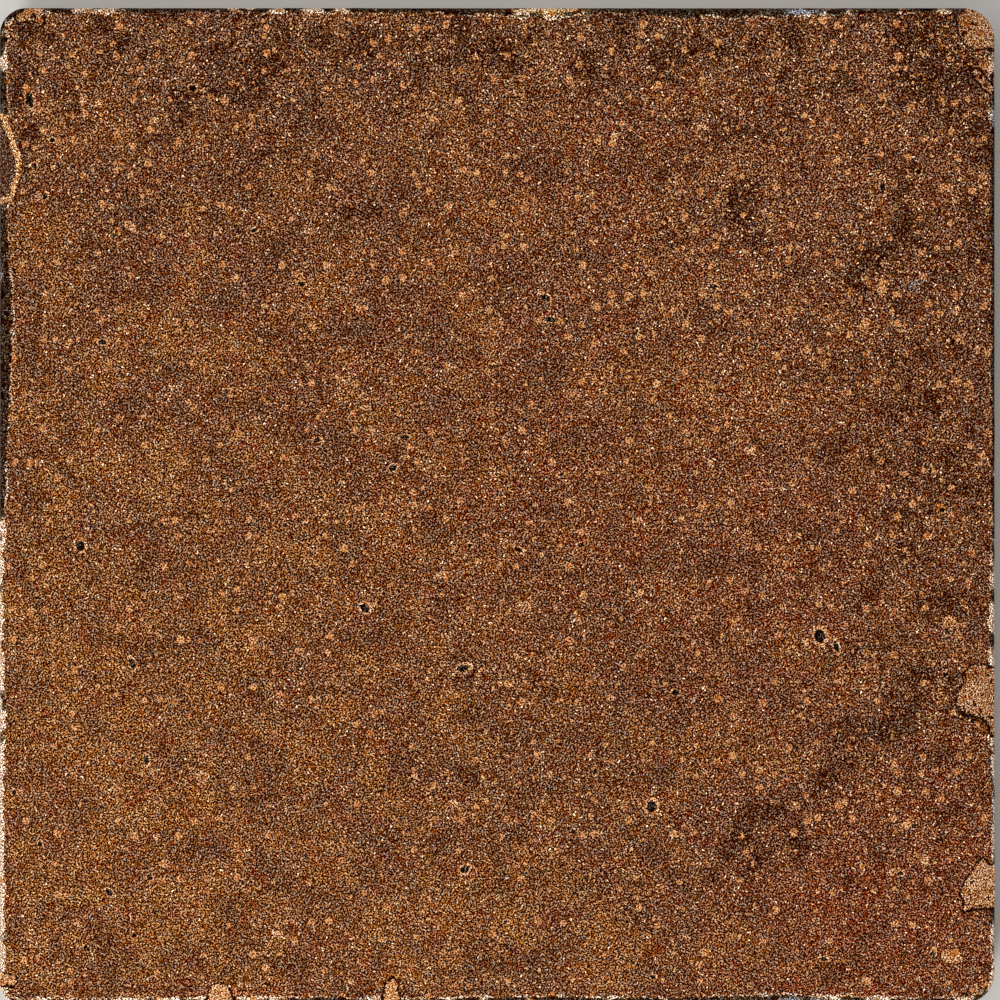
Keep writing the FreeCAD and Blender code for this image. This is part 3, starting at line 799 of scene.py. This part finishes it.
def fired_slab_tree(scoops, keys):
    """Geometry nodes: wavers the slab's skin, then cuts its grooves, chips, grains, pits and pores."""
    inputs = {
        "Slab": ("Geometry", None),
        "Wave Depth": ("Float", 0.0002),
        "Wave Length": ("Float", 0.02),
        "Skin Relief": ("Float", 0.0001),
        "Face Height": ("Float", 0.015),
        "Key Count": ("Int", 12),
        "Key Pitch": ("Float", 0.016),
        "Key Width": ("Float", 0.008),
        "Key Depth": ("Float", 0.0012),
        "Key Flank": ("Float", 0.4),
        "Key Length": ("Float", 0.22),
        "Chips": ("Object", None),
        "Grains": ("Object", None),
        "Pits": ("Object", None),
        "Pore Spacing": ("Float", 0.003),
        "Pore Radius": ("Float", 0.0003),
        "Seed": ("Int", 0),
        "Material": ("Material", None),
    }
    outputs = {"Tile": ("Geometry", None)}
    tree, nodes, given, result = new_tree("Fired Slab", "GeometryNodeTree", inputs, outputs)
    skin_size, most_pores, face_level = 0.0011, 30000.0, 0.985
    place = nodes.add("GeometryNodeInputPosition")
    normal = nodes.add("GeometryNodeInputNormal")
    level = nodes.math("DIVIDE", nodes.parts(place)["Z"], given["Face Height"])
    wave = nodes.noise(place, given["Wave Length"], 3.0, 0.45)
    sink = nodes.times(wave, given["Wave Depth"], -1.0, nodes.ramp(level, 0.2, 1.0))
    skin = nodes.noise(place, skin_size, 4.0, 0.6)
    sideways = nodes.ramp(nodes.rest(nodes.math("ABSOLUTE", nodes.parts(normal)["Z"])), 0.02, 0.5)
    above_back = nodes.ramp(level, 0.06, 0.12)
    relief = nodes.times(skin, given["Skin Relief"], -1.0, sideways, above_back)
    drop = nodes.add("ShaderNodeCombineXYZ", None, None, sink)
    slab = nodes.moved(given["Slab"], nodes.vector("ADD", nodes.scaled(normal, relief), drop))

    pores = nodes.add(
        "GeometryNodeDistributePointsOnFaces",
        named={
            "Mesh": slab,
            "Selection": nodes.math("GREATER_THAN", level, face_level),
            "Distance Min": given["Pore Spacing"],
            "Density Max": most_pores,
            "Seed": given["Seed"],
        },
        distribute_method="POISSON",
    )
    reach = {"Min": (0.6, 0.5, 0.8), "Max": (1.5, 1.2, 1.8)}
    any_reach = nodes.add("FunctionNodeRandomValue", named=reach, data_type="FLOAT_VECTOR")
    any_reach = nodes.scaled(any_reach, given["Pore Radius"])
    pores = nodes.store(pores, "reach", any_reach, "FLOAT_VECTOR", "POINT")
    any_turn = nodes.add("FunctionNodeRandomValue", named={"Seed": 5}, data_type="FLOAT", out=1)
    pores = nodes.store(pores, "turn", nodes.times(any_turn, math.pi), "FLOAT", "POINT")

    labels = ("Count", "Pitch", "Width", "Depth", "Flank", "Length")
    key_sizes = {label: given[f"Key {label}"] for label in labels}
    chips, grains, pits = (
        nodes.add("GeometryNodeObjectInfo", given[label], out="Geometry")
        for label in ("Chips", "Grains", "Pits")
    )
    cutters = [nodes.add("GeometryNodeGroup", node_tree=keys, named=key_sizes), chips]
    hollows = (
        {"Points": grains, "Detail": 3, "Ragged": 0.0005, "Ragged Size": 0.0009, "Broken": 0.9},
        {"Points": pits, "Detail": 3, "Ragged": 0.0006, "Ragged Size": 0.001, "Broken": 0.95,
         "Spread": (1.6, 1.6, 0.35)},
        {"Points": pits, "Detail": 3, "Ragged": 0.0008, "Ragged Size": 0.0008, "Hollow": 1.0},
        {"Points": pores, "Detail": 2, "Ragged": 0.0002, "Ragged Size": 0.0004, "Hollow": 1.0},
    )
    for hollow in hollows:
        cutters.append(nodes.add("GeometryNodeGroup", node_tree=scoops, named=hollow))
    for cutter in cutters:
        slab = nodes.add(
            "GeometryNodeMeshBoolean", slab, cutter, operation="DIFFERENCE", solver="MANIFOLD"
        )
    slab = nodes.add("GeometryNodeRealizeInstances", slab)
    slab = nodes.add("GeometryNodeSetMaterial", named={"Geometry": slab, "Material": given["Material"]})
    tree.links.new(slab, result["Tile"])
    return tree


def run_tree(thing, tree, values, name):
    """Runs a node tree on an object and returns the result as a plain mesh."""
    modifier = thing.modifiers.new(tree.name, "NODES")
    modifier.node_group = tree
    for item in tree.interface.items_tree:
        if item.in_out == "INPUT" and item.name in values:
            modifier[item.identifier] = values[item.name]
    ready = thing.evaluated_get(bpy.context.evaluated_depsgraph_get())
    mesh = bpy.data.meshes.new_from_object(ready)
    mesh.name = name
    thing.modifiers.remove(modifier)
    mesh.materials.clear()
    mesh.materials.append(values["Material"])
    mesh.polygons.foreach_set("material_index", [0] * len(mesh.polygons))
    return mesh


def patch_strength(x, y, patches):
    """How strongly the soft patches in a table colour each point."""
    total = np.zeros_like(x)
    for centre_x, centre_y, across, along, degrees, strength in patches:
        turn = math.radians(degrees)
        right = (x - centre_x) * math.cos(turn) + (y - centre_y) * math.sin(turn)
        away = (y - centre_y) * math.cos(turn) - (x - centre_x) * math.sin(turn)
        total += strength * np.exp(-((right / across) ** 2) - (away / along) ** 2)
    return total


def paint_by_place(mesh, settings):
    """Stores what the material can't tell by itself, such as how far each point is from the rim."""
    places = np.empty(len(mesh.vertices) * 3)
    mesh.vertices.foreach_get("co", places)
    x, y, z = places.reshape(-1, 3).T / MM
    past_rim = rim_distance(x, y) - worn_width(x, y, settings.rim_wander / MM)
    values = {name: patch_strength(x, y, patches) for name, patches in PATCHES.items()}
    values["past_rim"] = np.clip(past_rim, -4, 8)
    values["rim_tone"] = along_rim(x, y, RIM_TONE, 0.3)
    values["ridge_tone"] = along_rim(x, y, RIDGE_TONE, 0.4)
    values["chip_edge"] = inside_chip(x, y)
    values["below"] = FACE - z
    for name, numbers in values.items():
        mesh.attributes.new(name, "FLOAT", "POINT").data.foreach_set("value", numbers)


def unfold_skin(mesh):
    """Stores where each face corner lies with the sides folded out and the back laid beside the face."""
    fold, back_shift, facing_down = 4.0, 300.0, -0.4
    places = np.empty(len(mesh.vertices) * 3)
    mesh.vertices.foreach_get("co", places)
    vertex = np.empty(len(mesh.loops), int)
    mesh.loops.foreach_get("vertex_index", vertex)
    normals = np.empty(len(mesh.polygons) * 3)
    mesh.polygons.foreach_get("normal", normals)
    sizes = np.empty(len(mesh.polygons), int)
    mesh.polygons.foreach_get("loop_total", sizes)
    down = np.repeat(normals.reshape(-1, 3)[:, 2] < facing_down, sizes)
    x, y, z = places.reshape(-1, 3)[vertex].T / MM
    out_x, out_y = outward(x, y)
    reach = np.where(down, 0.0, smooth(1 - rim_distance(x, y) / fold) * (FACE - z))
    skin = np.stack([x + out_x * reach, y + out_y * reach + down * back_shift, np.zeros_like(x)], -1)
    mesh.attributes.new("skin", "FLOAT_VECTOR", "CORNER").data.foreach_set("vector", skin.ravel())


def flecks_tree():
    """A shader group: round grains, as a mask, with each grain's own value and the shade round it."""
    inputs = {
        "Place": ("Vector", (0, 0, 0)),
        "Spacing": ("Float", 3.0),
        "Least": ("Float", 0.3),
        "Most": ("Float", 1.0),
        "Share": ("Float", 0.5),
    }
    outputs = {"Mask": ("Float", None), "Own Value": ("Float", None), "Shade": ("Float", None)}
    tree, nodes, given, result = new_tree("Flecks", "ShaderNodeTree", inputs, outputs)
    named = {"Vector": given["Place"], "Scale": nodes.math("DIVIDE", 1.0, given["Spacing"])}
    cells = nodes.add("ShaderNodeTexVoronoi", named=named, voronoi_dimensions="2D")
    distance = nodes.times(cells, given["Spacing"])
    own = nodes.parts(cells.node.outputs["Color"])
    named = {"Value": own["X"], "To Min": given["Least"], "To Max": given["Most"]}
    radius = nodes.add("ShaderNodeMapRange", named=named)
    present = nodes.math("LESS_THAN", own["Y"], given["Share"])
    inside = nodes.fade(distance, nodes.times(radius, 0.7), radius)
    shade = nodes.fade(distance, radius, nodes.times(radius, 1.6))
    tree.links.new(nodes.times(inside, present), result["Mask"])
    tree.links.new(nodes.times(shade, present), result["Shade"])
    tree.links.new(own["Z"], result["Own Value"])
    return tree


class Clay(Nodes):
    """Lays the fired clay's colours over each other, as the eye sees them."""

    def __init__(self, tree, settings):
        super().__init__(tree)
        self.settings = settings
        self.skin = self.stored("skin", "Vector")
        self.mottle = self.noise(self.skin, 14, 3.0, 0.6, flat=True)
        self.blotch = self.noise(self.skin, 5, 3.0, 0.6, flat=True)
        self.speckle = self.noise(self.skin, 1.5, 2.0, 0.65, flat=True)
        self.dusk = self.noise(self.vector("ADD", self.skin, (90, 40, 0)), 8, 4.0, 0.7, flat=True)
        self.tone = self.shade("clay")
        self.fresh_and_highlight = 0.0  # where newly broken clay or grog shows, which is paler than the fired skin, and where painted highlights and reflections lie
        self.dirt_and_shade = 0.0  # where dirt fills the skin, and where painted shade darkens it

    def stored(self, name, out="Fac"):
        return self.add("ShaderNodeAttribute", attribute_name=name, attribute_type="GEOMETRY", out=out)

    def shade(self, colour):
        """A colour of the settings as the eye sees it."""
        return [part ** (1 / GAMMA) for part in getattr(self.settings, colour)]

    def between(self, share, first, second):
        return self.mix(share, self.shade(first), self.shade(second))

    def lay(self, share, tone):
        """Lays a tone, or a colour by its name, over what is there."""
        self.tone = self.mix(share, self.tone, self.shade(tone) if isinstance(tone, str) else tone)

    def ragged(self, name, pattern, low, high, start, end):
        """A stored value that a pattern makes uneven."""
        return self.plus(self.stored(name), self.ramp(pattern, low, high, start, end))

    def lay_body(self):
        """Yellower and redder areas, old dirt, and painted shade that darkens the face along the back and
        the right side.
        """
        ochre = self.ramp(self.mottle, 0.42, 0.62, 0.0, 0.7)
        self.lay(self.plus(ochre, self.times(self.stored("ochre"), 0.7)), "ochre")
        red = self.ramp(self.blotch, 0.48, 0.7, 0.0, 0.6)
        self.lay(self.plus(red, self.times(self.stored("red"), 0.8)), "red")
        # The dark patches are old dirt, and along the back and the right side painted shade.
        dark = self.times(self.stored("dark"), self.ramp(self.dusk, 0.35, 0.6, 0.3, 1.0))
        dark = self.plus(dark, self.ramp(self.dusk, 0.48, 0.68, 0.0, 0.75))
        self.lay(self.times(dark, 0.75), "stain_and_shade")
        self.lay(self.ramp(self.speckle, 0.3, 0.55, 0.6, 0.0), "stain_and_shade")
        self.dirt_and_shade = self.ramp(dark, 0.5, 1.3, 0.0, 0.7)

    def lay_grog(self):
        """Round pale grains, each with a shade round it, and small specks, dark or pale."""
        flecks = flecks_tree()

        def scatter(place, spacing, least, most, share):
            named = {"Place": place, "Spacing": spacing, "Least": least, "Most": most, "Share": share}
            return self.add("ShaderNodeGroup", node_tree=flecks, named=named).node.outputs

        crooked = self.vector("ADD", self.skin, self.noise(self.skin, 0.8, 1.0, 0.6, flat=True, out=1))
        more = self.line(self.stored("flaked"), 0.5, self.ramp(self.dusk, 0.35, 0.65, 0.15, -0.2))
        grog, self.disc = 0.0, 0.0
        for spacing, least, most, share, strength in FLECKS:
            place = self.vector("ADD", crooked, (spacing * 31, spacing * 17, 0))
            found = scatter(place, spacing, least, most, self.plus(more, share))
            own = found["Own Value"]
            self.lay(self.times(found["Shade"], self.ramp(own, 0.1, 0.9, 0.1, 0.5)), "stain_and_shade")
            cover = self.times(found["Mask"], self.ramp(own, 0.1, 0.7, 0.2, strength))
            self.lay(cover, self.between(own, "fleck", "fleck_light"))
            grog = self.most(found["Mask"], grog)
            self.disc = self.most(cover, self.disc)
        spacing, least, most, share = SPECKS
        found = scatter(crooked, spacing, least, most, self.line(grog, 0.2, self.plus(more, share)))
        pale = self.ramp(found["Own Value"], 0.36, 0.40)
        self.lay(found["Mask"], self.between(pale, "pit", "fleck_light"))
        self.fresh_and_highlight = self.times(self.disc, 0.75)
        self.dirt_and_shade = self.times(self.dirt_and_shade, self.rest(self.disc))

    def lay_chips(self):
        """Broken clay, paler where it is clean, with a line at the chip's edge: on a clean chip a dark line
        of painted shadow where the face steps down into it, on a dirtier one a line of pale clay.
        """
        broken = self.stored("broken")
        self.whole = self.math("LESS_THAN", broken, 0.25)
        chipped = self.rest(self.whole)
        self.clean = self.ramp(broken, 0.5, 1.0)
        paleness = self.ramp(self.line(self.clean, 0.6, self.speckle), 0.8, 1.15)
        dirt = self.ramp(self.line(self.clean, -0.7, self.speckle), 0.04, 0.12)
        clay = self.between(paleness, "broken", "broken_light")
        self.lay(chipped, self.mix(dirt, clay, self.shade("stain_and_shade")))
        # The dark line along a clean chip's edge is a painted shadow of the step down.
        gap = self.ragged("chip_edge", self.speckle, 0.3, 0.7, -0.25, 0.25)
        clean_edge = self.ramp(self.clean, 0.2, 0.4)
        edge = self.math("SUBTRACT", self.line(clean_edge, -0.8, 1.35), gap, clamp=True)
        edge = self.times(self.math("MULTIPLY", edge, 5.0, clamp=True), chipped)
        self.lay(self.times(edge, 0.95), self.between(clean_edge, "broken_light", "stain_and_shade"))
        pale_edge = self.line(clean_edge, -0.3, self.times(edge, 0.3))
        self.fresh_and_highlight = self.most(self.fresh_and_highlight, self.times(chipped, self.rest(dirt)), pale_edge)
        self.dirt_and_shade = self.most(self.dirt_and_shade, self.times(edge, clean_edge))

    def lay_rim(self):
        """The worn rim, pale, or dark with dirt and painted shade where it falls away from the face, and
        the ridge at its inner edge, whose pale line is partly a painted highlight.
        """
        past = self.ragged("past_rim", self.speckle, 0.3, 0.7, -0.2, 0.2)
        self.upper = self.fade(self.ragged("below", self.speckle, 0.3, 0.7, -0.6, 0.6), 2.4, 4.0)
        worn = self.times(self.fade(past, -0.1, 0.1), self.whole, self.upper)
        pale = self.ramp(self.ragged("rim_tone", self.blotch, 0.3, 0.7, -0.6, 0.6), -0.3, 0.3)
        # The dark end of the worn rim, in the pit colour, is old dirt together with painted shade where the
        # rim falls away.
        self.lay(self.times(worn, 0.95), self.between(pale, "pit", "broken_light"))
        self.dirt_and_shade = self.most(self.dirt_and_shade, self.times(worn, self.rest(pale)))
        ridge = self.times(self.ramp(past, -0.4, -0.1), self.fade(past, 0.05, 0.25), self.whole, self.upper)
        ridge_tone = self.ragged("ridge_tone", self.blotch, 0.35, 0.65, -0.5, 0.3)
        # The pale ridge line is worn clay and partly a painted highlight where the edge catches the light.
        pale_ridge = self.times(ridge, self.ramp(ridge_tone, 0.1, 0.6, 0.0, 0.8))
        self.lay(pale_ridge, "broken_light")
        self.lay(self.times(ridge, self.fade(ridge_tone, -0.6, -0.2)), "stain_and_shade")
        self.fresh_and_highlight = self.most(self.fresh_and_highlight, self.times(worn, pale), pale_ridge)

    def lay_spots(self):
        """Grey spots, a painted reflection of the sky on glassy clay, and a streak of yellow slip, near the
        walking face only.
        """
        grey = self.times(self.stored("grey"), self.ramp(self.blotch, 0.3, 0.5), self.upper)
        yellow = self.times(self.stored("yellow"), self.upper)
        self.lay(grey, "grey")
        self.lay(yellow, "yellow")
        self.fresh_and_highlight = self.most(self.fresh_and_highlight, self.math("ADD", grey, yellow, clamp=True))

    def lay_sand(self):
        """Fine sand all over, calmer on grog and clean clay. Returns its noise and its strength."""
        sand_size, crystal_size, sand_turn = 0.31, 0.25, 0.5
        named = {"Vector": self.skin, "Angle": sand_turn}
        askew = self.add("ShaderNodeVectorRotate", named=named, rotation_type="Z_AXIS")
        sand = self.noise(askew, sand_size, 0.0, 0.5, flat=True)
        named = {"Vector": askew, "Scale": 1 / crystal_size}
        crystals = self.add("ShaderNodeTexVoronoi", named=named, voronoi_dimensions="2D")
        crystal = self.math("SUBTRACT", self.parts(crystals.node.outputs["Color"])["X"], 0.5)
        sand_part = self.times(self.ramp(sand, 0.30, 0.62, -0.78, 0.53), self.settings.grain_contrast)
        grain = self.plus(sand_part, self.times(crystal, self.settings.crystal_contrast))
        calm = self.times(self.line(self.disc, -0.6, 1.0), self.line(self.clean, -0.4, 1.0))
        grain = self.times(grain, self.times(calm, self.line(self.dirt_and_shade, 0.3, 1.0)))
        grain = self.line(self.dirt_and_shade, -0.26, grain)
        deepen = self.line(self.fresh_and_highlight, -0.6, self.line(self.dirt_and_shade, 0.05, 1.0))
        tone = self.vector("ADD", self.tone, self.scaled(GRAIN_TINT, grain))
        tone = self.vector("ADD", tone, self.scaled(DEEPENING, deepen))
        self.tone = self.vector("MAXIMUM", tone, DARKEST)
        # In the pits the clay turns to the dark pit colour, with pale specks where the grain is high:
        # painted glints.
        pit_tone = self.between(self.ramp(grain, 0.45, 0.7), "pit", "fleck_light")
        self.lay(self.times(self.stored("hollow"), 0.92), pit_tone)
        return sand, grain


def clay_material(settings):
    """Fired clay, dull all over, with a fine relief."""
    material = bpy.data.materials.new("fired_clay")
    material.use_nodes = True
    shader = material.node_tree.nodes["Principled BSDF"]
    clay = Clay(material.node_tree, settings)
    clay.lay_body()
    clay.lay_grog()
    clay.lay_chips()
    clay.lay_rim()
    clay.lay_spots()
    sand, grain = clay.lay_sand()
    skin_height = clay.times(clay.speckle, settings.skin_height / MM)
    height = clay.line(sand, settings.grain_height / MM, skin_height)
    named = {"Strength": 1.0, "Distance": MM, "Height": height}
    clay.tree.links.new(clay.add("ShaderNodeGamma", clay.tone, GAMMA), shader.inputs["Base Color"])
    clay.tree.links.new(clay.add("ShaderNodeBump", named=named), shader.inputs["Normal"])
    clay.tree.links.new(clay.ramp(grain, -0.5, 0.5, 0.95, 0.75), shader.inputs["Roughness"])
    shader.inputs["Specular IOR Level"].default_value = 0.03
    return material


class TERRACOTTA_OT_floor_tile(bpy.types.Operator):
    """Makes the fired tile, which stands for the CAD tile"""

    bl_idname = "terracotta.floor_tile"
    bl_label = "Floor tile"

    def execute(self, context):
        settings = getattr(context.scene, TILE)
        noise.seed_set(RAGGED_SEED)  # or else noise_vector differs from run to run
        slab = scratch_object("slab", slab_mesh(settings))
        chips = all_chips()
        grains = spots("grains", [(*grain, 0.25) for grain in GRAINS])
        pits = spots("pits", PITS)
        values = {
            "Wave Depth": settings.wave_depth,
            "Wave Length": settings.wave_length,
            "Skin Relief": settings.skin_relief,
            "Face Height": FACE * MM,
            "Key Count": settings.key_count,
            "Key Pitch": settings.key_pitch,
            "Key Width": settings.key_width,
            "Key Depth": settings.key_depth,
            "Key Flank": settings.key_flank,
            "Key Length": 2.2 * HALF_WIDTH * MM,
            "Chips": chips,
            "Grains": grains,
            "Pits": pits,
            "Pore Spacing": settings.pore_spacing,
            "Pore Radius": settings.pore_radius,
            "Seed": settings.seed,
            "Material": clay_material(getattr(context.scene, CLAY)),
        }
        mesh = run_tree(slab, fired_slab_tree(scoop_tree(), key_tree()), values, "fired_tile")
        for scratch in (slab, chips, grains, pits):
            data = scratch.data
            bpy.data.objects.remove(scratch)
            bpy.data.meshes.remove(data)
        mesh.shade_smooth()
        mesh.set_sharp_from_angle(angle=math.radians(35))
        paint_by_place(mesh, settings)
        unfold_skin(mesh)
        tile = bpy.data.objects.new("fired_tile", mesh)
        context.scene.collection.objects.link(tile)
        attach(tile, "root")
        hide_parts(NODE)
        return {"FINISHED"}


def floor_material(tint):
    """Matt painted studio floor with a faint mottle."""
    material = bpy.data.materials.new("studio_floor")
    material.use_nodes = True
    nodes = Nodes(material.node_tree)
    shader = material.node_tree.nodes["Principled BSDF"]
    place = nodes.add("ShaderNodeTexCoord", out="Object")
    mottle_size, darker = 0.08, 0.94
    mottle = nodes.noise(place, mottle_size, 4.0, 0.5)
    base = nodes.mix(nodes.ramp(mottle, 0.3, 0.7), [darker * part for part in tint], tint)
    material.node_tree.links.new(base, shader.inputs["Base Color"])
    shader.inputs["Roughness"].default_value = 0.85
    return material


def soft_light(name, place, size, power):
    """A square soft light that looks at the tile's middle."""
    data = bpy.data.lights.new(name, "AREA")
    data.shape, data.size, data.energy = "SQUARE", size, power
    light = bpy.data.objects.new(name, data)
    light.location = place
    light.rotation_euler = (-Vector(place)).to_track_quat("-Z", "Y").to_euler()
    bpy.context.scene.collection.objects.link(light)


class TERRACOTTA_OT_studio(bpy.types.Operator):
    """Makes the floor, the lights and the camera"""

    bl_idname = "terracotta.studio"
    bl_label = "Studio"

    def execute(self, context):
        settings = getattr(context.scene, STUDIO)
        mesh = bpy.data.meshes.new("studio_floor")
        reach = settings.floor_reach
        corners = [(-reach, -reach, 0), (reach, -reach, 0), (reach, reach, 0), (-reach, reach, 0)]
        mesh.from_pydata(corners, [], [(0, 1, 2, 3)])
        mesh.materials.append(floor_material(settings.floor_colour))
        floor = bpy.data.objects.new("studio_floor", mesh)
        context.scene.collection.objects.link(floor)
        for name, (place, size) in LIGHTS.items():
            soft_light(name, place, size, getattr(settings, name))
        world = bpy.data.worlds.new("studio")
        world.use_nodes = True
        sky = world.node_tree.nodes["Background"]
        sky.inputs["Color"].default_value = (1, 1, 1, 1)
        sky.inputs["Strength"].default_value = settings.sky
        context.scene.world = world
        context.scene.view_settings.view_transform = "Standard"
        data = bpy.data.cameras.new("camera")
        data.lens, data.sensor_width = settings.lens, 36.0
        data.clip_start, data.clip_end = 0.01, 20.0
        camera = bpy.data.objects.new("camera", data)
        distance = settings.view_width * data.lens / data.sensor_width
        camera.location = (settings.view_right, settings.view_back, FACE * MM + distance)
        context.scene.collection.objects.link(camera)
        context.scene.camera = camera
        return {"FINISHED"}


class TERRACOTTA_PT_panel(bpy.types.Panel):
    """Lists the tile's and the studio's operators and settings"""

    bl_idname = "TERRACOTTA_PT_panel"
    bl_label = "Terracotta Floor Tile"
    bl_space_type = "VIEW_3D"
    bl_region_type = "UI"
    bl_category = "Terracotta"

    def draw(self, context):
        for operator, settings in ((TERRACOTTA_OT_floor_tile, TILE), (TERRACOTTA_OT_studio, STUDIO)):
            box = self.layout.box()
            box.operator(operator.bl_idname)
            group = getattr(context.scene, settings)
            for name in group.bl_rna.properties.keys():
                if name not in ("rna_type", "name"):
                    box.prop(group, name)


CLASSES = (
    TileSettings,
    ClaySettings,
    StudioSettings,
    TERRACOTTA_OT_floor_tile,
    TERRACOTTA_OT_studio,
    TERRACOTTA_PT_panel,
)


def register():
    for one in CLASSES:
        bpy.utils.register_class(one)
    setattr(bpy.types.Scene, TILE, PointerProperty(type=TileSettings))
    setattr(bpy.types.Scene, CLAY, PointerProperty(type=ClaySettings))
    setattr(bpy.types.Scene, STUDIO, PointerProperty(type=StudioSettings))


def unregister():
    delattr(bpy.types.Scene, TILE)
    delattr(bpy.types.Scene, CLAY)
    delattr(bpy.types.Scene, STUDIO)
    for one in reversed(CLASSES):
        bpy.utils.unregister_class(one)


def main():
    register()
    bpy.ops.terracotta.floor_tile()
    bpy.ops.terracotta.studio()


if __name__ == "__main__":
    main()
